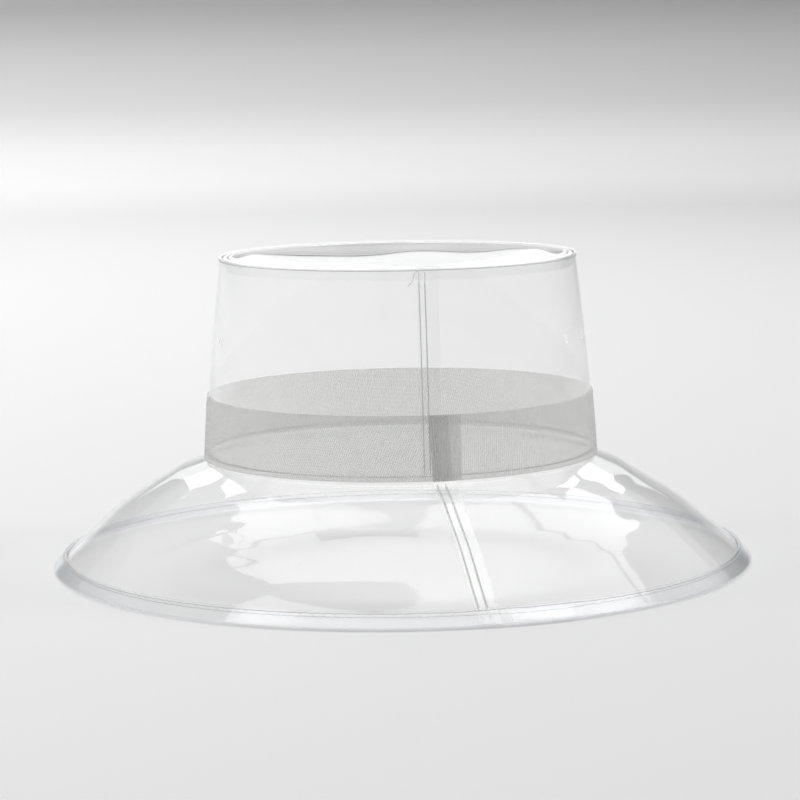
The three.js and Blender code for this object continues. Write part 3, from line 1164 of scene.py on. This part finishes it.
@dataclass
class Brim:
    """The sloping brim, its seam, and the tape that binds its edge."""

    plan: HatPlan
    vinyl: ClearVinyl
    tape: ClearVinyl
    thread: bpy.types.Material
    columns: int = 560
    row_spacing: float = 1.5 * MM
    row_offsets: tuple[float, float] = (1.5 * MM, 5.3 * MM)
    # The brim's blank to about 6 mm. As a plain cone it comes to 407 by 376 mm.
    declared_flat: tuple[float, float] = (0.408, 0.370)
    tape_width: float = 8 * MM
    tape_rise: float = 0.45 * MM
    stitch: Lockstitch = Lockstitch(pitch=3.0 * MM)
    edge_stitch: Lockstitch = Lockstitch(pitch=5.0 * MM)
    ripple: Ripple = Ripple(
        waves=(Wave(3, 20, 0.5 * MM, 60), Wave(5, 200, 0.35 * MM, -80), Wave(8, 75, 0.15 * MM, 140)),
        dents=(
            Dent(-7.0, 0.47, 15.0, 0.15, 1.6 * MM),
            Dent(-23.0, 0.74, 15.0, 0.09, 1.5 * MM, 1.0),
            Dent(-47.0, 0.30, 9.0, 0.06, 0.6 * MM, -4.0),
            Dent(60.0, 0.34, 12.0, 0.07, 0.6 * MM, 4.0),
            Dent(-35.5, 0.50, 1.6, 0.03, 0.35 * MM, 1.0),
            Dent(54.0, 0.54, 1.6, 0.03, 0.40 * MM, -1.0),
            Dent(15.5, 0.84, 2.6, 0.05, 0.35 * MM),
            Dent(-42.0, 0.58, 3.2, 0.11, 1.1 * MM, -5.5),
        ),
        hold=staticmethod(lambda share: smooth(share / 0.35) * (1 - 0.9 * smooth((share - 0.6) / 0.4))),
    )

    def __post_init__(self) -> None:
        """Work out the brim's and the tape's surfaces."""
        plan = self.plan
        collar = float(plan.wall_radius(plan.collar_top)) - plan.wall_ease
        self.sheet = Surface(
            plan,
            Profile([
                (collar, plan.collar_top, 0.0),
                (plan.head_radius, plan.joint, 2.0 * MM),
                (plan.head_radius + 15 * MM, plan.joint - 6.0 * MM, 30 * MM),
                (plan.head_radius + 44 * MM, plan.joint - 23.6 * MM, 90 * MM),
                (plan.brim_radius, plan.brim_edge, 0.0),
            ]),
            self.ripple,
        )

    @property
    def edge_normal(self) -> Points:
        """Return the two parts of the brim's outward normal along its cut edge."""
        return np.array([self.sheet.profile.out_r[-1], self.sheet.profile.out_z[-1]])

    def own(self, offset: Points) -> Points:
        """Return how far the brim rides over its own end."""
        return own_lift(offset, self.plan.brim_lap, self.plan.stock.layer)

    def make_sheet(self) -> bpy.types.Object:
        """Return the lapped brim with its collar.

        Returns:
            The brim, before it has a material.
        """
        plan, lap = self.plan, self.plan.brim_lap
        pattern = Pattern.grid(columns_round(self.columns), self.sheet.profile.rows(self.row_spacing))
        round_ = TURN * self.sheet.radius(pattern.down)
        offset = lap.start + (lap.end - lap.start) * pattern.across
        run = offset + round_ * pattern.across
        stand = self.own(run)
        under = self.sheet.place(offset, pattern.across, pattern.down, stand)
        over = self.sheet.place(offset, pattern.across, pattern.down, stand + plan.stock.sheet)
        cloth = np.stack([run, pattern.down, wrapped(run, round_)], -1)
        piece = name_piece(make_shell("brim_sheet", pattern, under, over, cloth), "brim")
        length = self.sheet.profile.length
        area = (TURN * (plan.head_radius + plan.brim_radius) / 2 + lap.end) * length
        return piece

    def tape_points(self, pattern: Pattern, profile: Profile, lift: float) -> tuple[Points, Points]:
        """Return points of the folded tape and where they are on the cloth.

        Args:
            pattern: The tape's pattern.
            profile: The fold's line, from the top leg's edge round the nose to the bottom leg's edge.
            lift: Distance off the fold's inner face.

        Returns:
            The points, and distance round, down and from the seam at each.
        """
        plan, stock, lap = self.plan, self.plan.stock, self.plan.binding_lap
        radius, height, out_r, out_z = profile.at(pattern.down)
        round_ = TURN * radius
        offset = lap.start + (lap.end - lap.start) * pattern.across
        run = offset + round_ * pattern.across
        near = wrapped(run, round_)
        on_top = smooth((profile.length * 0.5 - pattern.down) / (2 * MM))
        rides = own_lift(run, lap, stock.layer) + swell(near, plan.brim_lap, stock.layer, 5 * MM) * on_top
        azimuth = plan.seam(radius, height) + offset / radius + TURN * pattern.across
        back = np.hypot(plan.brim_radius - radius, plan.brim_edge - height)
        share = 1 - back / self.sheet.profile.length
        follow = self.ripple.at(azimuth, share)
        slope_r, slope_z = self.edge_normal
        reach = radius + out_r * (lift + rides) + slope_r * follow
        rise = height + out_z * (lift + rides) + slope_z * follow
        points = np.stack([reach * np.sin(azimuth), -reach * np.cos(azimuth), rise], -1)
        return points, np.stack([run, pattern.down, near], -1)

    def fold_line(self) -> Profile:
        """Return the inner face of the folded tape, from its top leg to its bottom leg.

        Returns:
            The line, in a half plane through the hat's axis.
        """
        plan, stock = self.plan, self.plan.stock
        out = self.edge_normal
        run = np.array([out[1], -out[0]])
        edge = np.array([plan.brim_radius, plan.brim_edge])
        top, bottom, nose = stock.layer, -stock.air, stock.air + 0.15 * MM
        bend = (top - bottom) / 2
        back = -self.tape_width
        corners = [(back, top + self.tape_rise), (nose, top), (nose, bottom), (back, bottom)]
        bends = [0.0, bend * 0.98, bend * 0.98, 0.0]
        placed = [edge + run * along + out * up for along, up in corners]
        return Profile([(float(p[0]), float(p[1]), bend_) for p, bend_ in zip(placed, bends)])

    def make_tape(self) -> bpy.types.Object:
        """Return the binding tape, folded over the brim's edge and lapped on itself.

        Returns:
            The tape, before it has a material.
        """
        profile = self.fold_line()
        pattern = Pattern.grid(columns_round(self.columns), profile.rows(1.6 * MM, math.radians(22)))
        under, cloth = self.tape_points(pattern, profile, 0.0)
        over, _ = self.tape_points(pattern, profile, self.plan.stock.sheet)
        piece = name_piece(make_shell("brim_binding_tape", pattern, under, over, cloth), "brim_binding")
        lap = self.plan.binding_lap
        length = TURN * self.plan.brim_radius + lap.end - lap.start
        return piece

    def seam_row(self, offset: float, outside: bool) -> Points:
        """Return one row of the brim seam.

        Args:
            offset: Distance to the right of the brim's cut edge.
            outside: Whether it lies on the lap's top face.

        Returns:
            The points of the thread.
        """
        stock = self.plan.stock
        high = self.sheet.profile.length * 0.085
        low = self.sheet.profile.length - self.tape_width - 0.4 * MM
        share, rise = self.stitch.row(low - high, stock.thread)
        down = high + share * (low - high)
        stand = stock.layer + stock.sheet + rise if outside else -rise
        return self.sheet.place(np.full_like(down, offset), np.zeros_like(down), down, stand)

    def edge_row(self, outside: bool) -> Points:
        """Return the row of stitches that holds the tape, on its top or bottom leg.

        Args:
            outside: Whether it lies on the top leg.

        Returns:
            The points of the thread.
        """
        plan, stock = self.plan, self.plan.stock
        down = self.sheet.profile.length - self.tape_width + 1.5 * MM
        radius = float(self.sheet.radius(down))
        share, rise = self.edge_stitch.row(TURN * radius, stock.thread)
        near = wrapped(share * TURN * radius, TURN * radius)
        laps = swell(near, plan.binding_lap, stock.layer, 5 * MM)
        if outside:
            tape = stock.layer + stock.sheet + self.tape_rise * (1 - 1.5 * MM / self.tape_width)
            stand = laps + swell(near, plan.brim_lap, stock.layer, 5 * MM) + tape + rise
        else:
            stand = -laps - stock.layer - rise
        return self.sheet.place(np.zeros_like(share), share, np.full_like(share, down), stand)

    def build(self) -> None:
        """Make and dress the brim's pieces."""
        dress(self.make_sheet(), self.vinyl.make())
        dress(self.make_tape(), self.tape.make())
        thick = self.plan.stock.thread
        for side, outside in SIDES:
            sew(f"binding_seam_{side}_thread", [self.edge_row(outside)], thick, True, self.thread)
            for place, offset in zip(("left", "right"), self.row_offsets):
                row = self.seam_row(offset, outside)
                sew(f"brim_seam_{place}_{side}_thread", [row], thick, False, self.thread)


@dataclass
class Band:
    """The ribbon round the foot of the crown, with its end folded under and sewn down."""

    plan: HatPlan
    wall: Surface
    base: Callable[[Points, Points], Points]
    weave: RibbonWeave
    thread: bpy.types.Material
    fold_width: float = 8.5 * MM
    fold_radius: float = 0.25 * MM
    fold_columns: int = 28
    rib_height: float = 0.04 * MM
    ribs_columns: int = 4
    edge_lean: float = 1.4 * MM
    stitch: Lockstitch = Lockstitch(pitch=2.8 * MM)

    @property
    def stand(self) -> float:
        """Return how far the ribbon's inside stands off the wall's inside."""
        return self.plan.stock.sheet + self.plan.stock.thread + 0.2 * MM

    def path(self) -> tuple[Points, Points, Points, Points, Points]:
        """Return the ribbon's middle line, seen from its edge.

        Returns:
            Distance from the seam, share of a turn, height over the wall, and the two parts of the
            line's normal: along the wall and out from it.
        """
        plan, thick, bend = self.plan, self.plan.stock.ribbon, self.fold_radius
        low = thick * 1.5 + self.plan.stock.air
        tucked = self.fold_columns
        under = np.linspace(self.fold_width, bend, tucked)
        swing = np.linspace(0, math.pi, 9)[1:-1]
        ribs = round(TURN * plan.head_radius / self.weave.rib)
        share = np.linspace(0, 1, ribs * self.ribs_columns + 1)
        over = bend + (plan.ribbon_lap.end - bend) * share
        run = over + share * TURN * plan.head_radius
        ramp = smooth(1 - (run - plan.ribbon_lap.end) / plan.ribbon_lap.ramp)
        high = thick / 2 + (low + 2 * bend - thick / 2) * ramp
        offset = np.concatenate([under, bend - bend * np.sin(swing), over])
        turn = np.concatenate([np.zeros(tucked + len(swing)), share])
        lift = np.concatenate([np.full(tucked, low), low + bend - bend * np.cos(swing), high])
        along = np.concatenate([np.zeros(tucked), -np.sin(swing), np.zeros_like(share)])
        out = np.concatenate([np.full(tucked, -1.0), -np.cos(swing), np.ones_like(share)])
        return offset, turn, lift, along, out

    def make_ribbon(self) -> bpy.types.Object:
        """Return the ribbed ribbon.

        Returns:
            The ribbon, before it has a material.
        """
        plan, thick = self.plan, self.plan.stock.ribbon
        offset, turn, lift, along, out = self.path()
        top = self.wall.profile.down_to(plan.ribbon_top)
        foot = self.wall.profile.length + plan.wall_foot - plan.ribbon_foot
        edge_rows = np.array([0.0, 0.3, 0.8, 1.4]) * MM
        down = np.concatenate([top + edge_rows, np.linspace(top + 2.4 * MM, foot - 2.4 * MM, 8)])
        down = np.concatenate([down, (foot - edge_rows)[::-1]])
        pattern = Pattern.grid(np.arange(len(offset)), down)
        index = pattern.across.astype(int)
        radius = self.wall.radius(pattern.down)
        run = offset[index] + turn[index] * TURN * radius
        rows = pattern.down - top
        lean = self.edge_lean * (rows / (foot - top) - 1)
        lean = np.where(turn[index] == 0, lean, lean * smooth(1 - run / (12 * MM)))
        rib = np.cos(TURN * run / self.weave.rib) * smooth(np.minimum(rows, foot - top - rows) / (1.2 * MM))
        hem = 1 + 0.35 * np.exp(-((np.minimum(rows, foot - top - rows) / (0.6 * MM)) ** 2))
        half = thick / 2 * hem + self.rib_height * rib
        near = wrapped(run, TURN * radius)
        height = self.wall.profile.at(pattern.down)[1]
        laps = swell(near, plan.wall_lap, plan.stock.layer, 4 * MM) + self.base(near, height)

        def points(side: float) -> Points:
            """Return one face's points, on the inner (-1) or outer (+1) side."""
            return self.wall.place(
                offset[index] + lean + side * half * along[index], turn[index], pattern.down,
                self.stand + laps + lift[index] + side * half * out[index],
            )

        cloth = np.stack([run, rows, near], -1)
        piece = name_piece(make_shell("hat_band_ribbon", pattern, points(-1), points(1), cloth), "hat_band")
        length = TURN * float(np.mean(radius)) + plan.ribbon_lap.end + self.fold_width
        return piece

    def lap_row(self, outside: bool) -> Points:
        """Return the row of stitches that holds the ribbon's folded end, outside or inside.

        Args:
            outside: Whether it lies on the ribbon's outside.

        Returns:
            The points of the thread.
        """
        plan, stock = self.plan, self.plan.stock
        high = self.wall.profile.down_to(plan.ribbon_top - 1.5 * MM)
        inner_low = self.wall.profile.down_to(plan.collar_top + 1 * MM)
        low = self.wall.profile.length - 1.5 * MM if outside else inner_low
        share, rise = self.stitch.row(low - high, stock.thread)
        down = high + share * (low - high)
        lean = self.edge_lean * (share - 1)
        layers = stock.layer * 2 + 3 * stock.ribbon + 0.5 * MM
        stand = self.stand + layers + rise if outside else self.stand - stock.thread - rise
        return self.wall.place(1.5 * MM + lean, np.zeros_like(down), down, stand)

    def build(self) -> None:
        """Make and dress the ribbon and its stitches."""
        dress(self.make_ribbon(), self.weave.make())
        thick = self.plan.stock.thread
        for side, outside in SIDES:
            sew(f"band_lap_{side}_thread", [self.lap_row(outside)], thick, False, self.thread)


# ---- The studio ----


@dataclass(frozen=True)
class Softbox:
    """A flat soft light that the camera doesn't see: a panel that only shows in gloss, or a plain lamp."""

    name: str
    middle: tuple[float, float, float]
    aim: tuple[float, float, float]
    size: tuple[float, float]
    brightness: float
    in_gloss: bool = True

    # Height of the overhead panes, in metres.
    CEILING = 1.17

    @classmethod
    def overhead(
        cls, name: str, left: float, right: float, front: float, back: float, brightness: float = 2.2
    ) -> "Softbox":
        """Return one pane of the ceiling of softboxes over the hat.

        Args:
            name: The light's name.
            left: Its left side.
            right: Its right side.
            front: Its side nearer the camera.
            back: Its side farther from the camera.
            brightness: Its brightness.

        Returns:
            The pane, facing down.
        """
        middle = ((left + right) / 2, (front + back) / 2, cls.CEILING)
        return cls(name, middle, (0, 0, -1), (right - left, back - front), brightness)

    def make(self) -> None:
        """Add the light to the scene."""
        lamp = bpy.data.lights.new(self.name, "AREA")
        lamp.shape = "RECTANGLE"
        lamp.size, lamp.size_y = self.size
        lamp.energy = self.brightness * math.pi * self.size[0] * self.size[1]
        holder = bpy.data.objects.new(self.name, lamp)
        holder.location = self.middle
        holder.rotation_euler = Vector(self.aim).to_track_quat("-Z", "Y").to_euler()
        holder.visible_camera = False
        holder.visible_glossy = self.in_gloss
        holder.visible_diffuse = not self.in_gloss
        bpy.context.scene.collection.objects.link(holder)


@dataclass(frozen=True)
class Flag:
    """A dark card, upright behind the hat, that only shows in its gloss."""

    distance: float = 2.6
    half_width: float = 0.26
    foot: float = 0.36
    top: float = 0.54

    def make(self) -> None:
        """Add the card to the scene."""
        corners = [
            (x, self.distance, z)
            for x, z in (
                (-self.half_width, self.foot),
                (self.half_width, self.foot),
                (self.half_width, self.top),
                (-self.half_width, self.top),
            )
        ]
        mesh = bpy.data.meshes.new("dark_flag")
        mesh.from_pydata(corners, [], [(0, 1, 2, 3)])
        mesh.materials.append(FlagCloth("flag_cloth").make())
        card = bpy.data.objects.new("dark_flag", mesh)
        card.visible_camera = False
        card.visible_diffuse = False
        card.visible_transmission = False
        card.visible_shadow = False
        bpy.context.scene.collection.objects.link(card)


@dataclass(frozen=True)
class Studio:
    """The paper sweep, the lights and the camera."""

    cove_radius: float = 2.9
    cove_height: float = 1.2
    cove_bend: float = 0.5
    sweep_steps: int = 96
    lens_mm: float = 121.26
    camera_place: tuple[float, float, float] = (0.0, -1.275, 0.2416)
    camera_pitch: float = math.radians(90 - 7.373)
    camera_roll: float = math.radians(-0.94)
    sky: float = 0.42
    lights: tuple[Softbox, ...] = (
        Softbox.overhead("front_softbox", -0.75, 1.12, -0.29, 0.18),
        Softbox.overhead("left_softbox", -0.75, -0.42, 0.18, 0.47),
        Softbox.overhead("dim_softbox", -0.42, 0.15, 0.26, 0.50, 0.5),
        Softbox.overhead("right_softbox", 0.15, 1.12, 0.18, 0.47),
        Softbox.overhead("middle_softbox", -0.75, 1.12, 0.50, 0.60),
        Softbox.overhead("left_inner_softbox", -0.75, -0.52, 0.60, 0.80),
        Softbox.overhead("right_inner_softbox", -0.30, 1.12, 0.60, 0.80),
        Softbox.overhead("centre_softbox", -0.52, 0.45, 0.80, 1.30),
        Softbox.overhead("right_outer_softbox", 0.70, 1.12, 0.80, 1.30),
        Softbox.overhead("back_softbox", -0.75, 0.70, 1.30, 2.10),
        Softbox.overhead("far_softbox", -1.15, 1.20, 2.10, 3.30, 2.1),
        Softbox.overhead("left_dim_softbox", -1.50, -0.75, -0.25, 2.10, 0.15),
        Softbox.overhead("right_dim_softbox", 1.12, 1.8, -0.25, 2.10, 0.3),
        Softbox("rear_panel", (0.0, 2.7, 0.90), (0, -1, -0.22), (2.0, 0.8), 0.75),
        Softbox("low_rear_panel", (0.0, 2.75, 0.28), (0, -1, 0), (2.4, 0.22), 0.14),
        Softbox("top_lamp", (-0.35, 1.75, 3.5), (0, 0, -1), (2.4, 2.4), 3.7, in_gloss=False),
        Softbox("front_lamp", (-0.2, -3.0, 1.6), (0.05, 1, -0.45), (1.2, 1.2), 0.6, in_gloss=False),
        Softbox("left_lamp", (-2.4, 0.0, 1.0), (1, 0, -0.35), (1.0, 1.0), 2.8, in_gloss=False),
        Softbox("right_lamp", (2.4, 0.0, 1.0), (-1, 0, -0.35), (1.0, 1.0), 4.0, in_gloss=False),
    )

    def make_world(self) -> None:
        """Add the dim room round the set."""
        world = bpy.data.worlds.new("studio_room")
        bpy.context.scene.world = world
        bench = Bench(world)
        glow = bench.node("Background", inputs={"Color": (1, 1, 1, 1), "Strength": self.sky})
        bench.surface(glow.outputs["Background"])

    def make_sweep(self) -> None:
        """Add the round paper sweep, flat under the hat and curved up all round."""
        curve = np.linspace(0, math.pi / 2, 16)
        rise = self.cove_bend
        radii = np.concatenate([[0.05, 0.3, 0.8, 1.6, 2.4], self.cove_radius + rise * np.sin(curve)])
        heights = np.concatenate([np.zeros(5), rise * (1 - np.cos(curve))])
        radii = np.append(radii, radii[-1])
        heights = np.append(heights, self.cove_height)
        steps = self.sweep_steps
        angles = np.arange(steps) * TURN / steps
        shape = bmesh.new()
        rings = [
            [shape.verts.new((r * math.cos(a), r * math.sin(a), z)) for a in angles]
            for r, z in zip(radii, heights)
        ]
        shape.faces.new(rings[0])
        for inner, outer in zip(rings, rings[1:]):
            for i in range(steps):
                shape.faces.new([inner[i], outer[i], outer[(i + 1) % steps], inner[(i + 1) % steps]])
        for face in shape.faces:
            face.smooth = True
        mesh = bpy.data.meshes.new("paper_sweep")
        shape.to_mesh(mesh)
        shape.free()
        # Painted shade: the paper's grey at each share of the cove's height, darker up the cove as light
        # falls off.
        stops = (
            (0.0, 0.945), (0.03, 1.0), (0.07, 0.95), (0.13, 0.74), (0.20, 0.62), (0.27, 0.43), (1.0, 0.29),
        )
        mesh.materials.append(PaperSweep("sweep_paper", stops, self.cove_height).make())
        sweep = bpy.data.objects.new("paper_sweep", mesh)
        bpy.context.scene.collection.objects.link(sweep)

    def make_camera(self) -> None:
        """Add the camera, a long lens a little above the hat."""
        lens = bpy.data.cameras.new("camera")
        lens.sensor_width = 36.0
        lens.lens = self.lens_mm
        lens.clip_start = 0.05
        lens.clip_end = 60.0
        camera = bpy.data.objects.new("camera", lens)
        stand = Matrix.Translation(self.camera_place)
        tilt = Matrix.Rotation(self.camera_pitch, 4, "X")
        roll = Matrix.Rotation(self.camera_roll, 4, "Z")
        camera.matrix_world = stand @ tilt @ roll
        bpy.context.scene.collection.objects.link(camera)
        bpy.context.scene.camera = camera

    def build(self) -> None:
        """Set up the studio."""
        scene = bpy.context.scene
        scene.view_settings.view_transform = "Standard"
        scene.cycles.transparent_max_bounces = 64
        scene.cycles.max_bounces = 10
        self.make_camera()
        self.make_world()
        self.make_sweep()
        Flag().make()
        for light in self.lights:
            light.make()


def main() -> None:
    """Build the studio and the hat, one sub-assembly at a time."""
    logging.basicConfig(level=logging.INFO, format="%(name)s: %(message)s")
    Studio().build()
    plan = HatPlan()
    thread = SewingThread("sewing_thread").make()
    crown_puckers = StitchPuckers(rows=Crown.row_offsets, pitch=Crown.stitch.pitch)
    brim_puckers = StitchPuckers(rows=Brim.row_offsets, pitch=Brim.stitch.pitch)
    crown = Crown(plan, ClearVinyl("crown_vinyl", edge=0.35, puckers=crown_puckers), thread)
    crown.build()
    tape = ClearVinyl("binding_vinyl", tint=(0.86, 0.90, 0.95), head_on=0.020, haze=0.015, edge=0.08)
    Brim(plan, ClearVinyl("brim_vinyl", puckers=brim_puckers), tape, thread).build()
    Band(plan, crown.wall, crown.base, RibbonWeave("ribbon_weave"), thread).build()


if __name__ == "__main__":
    main()
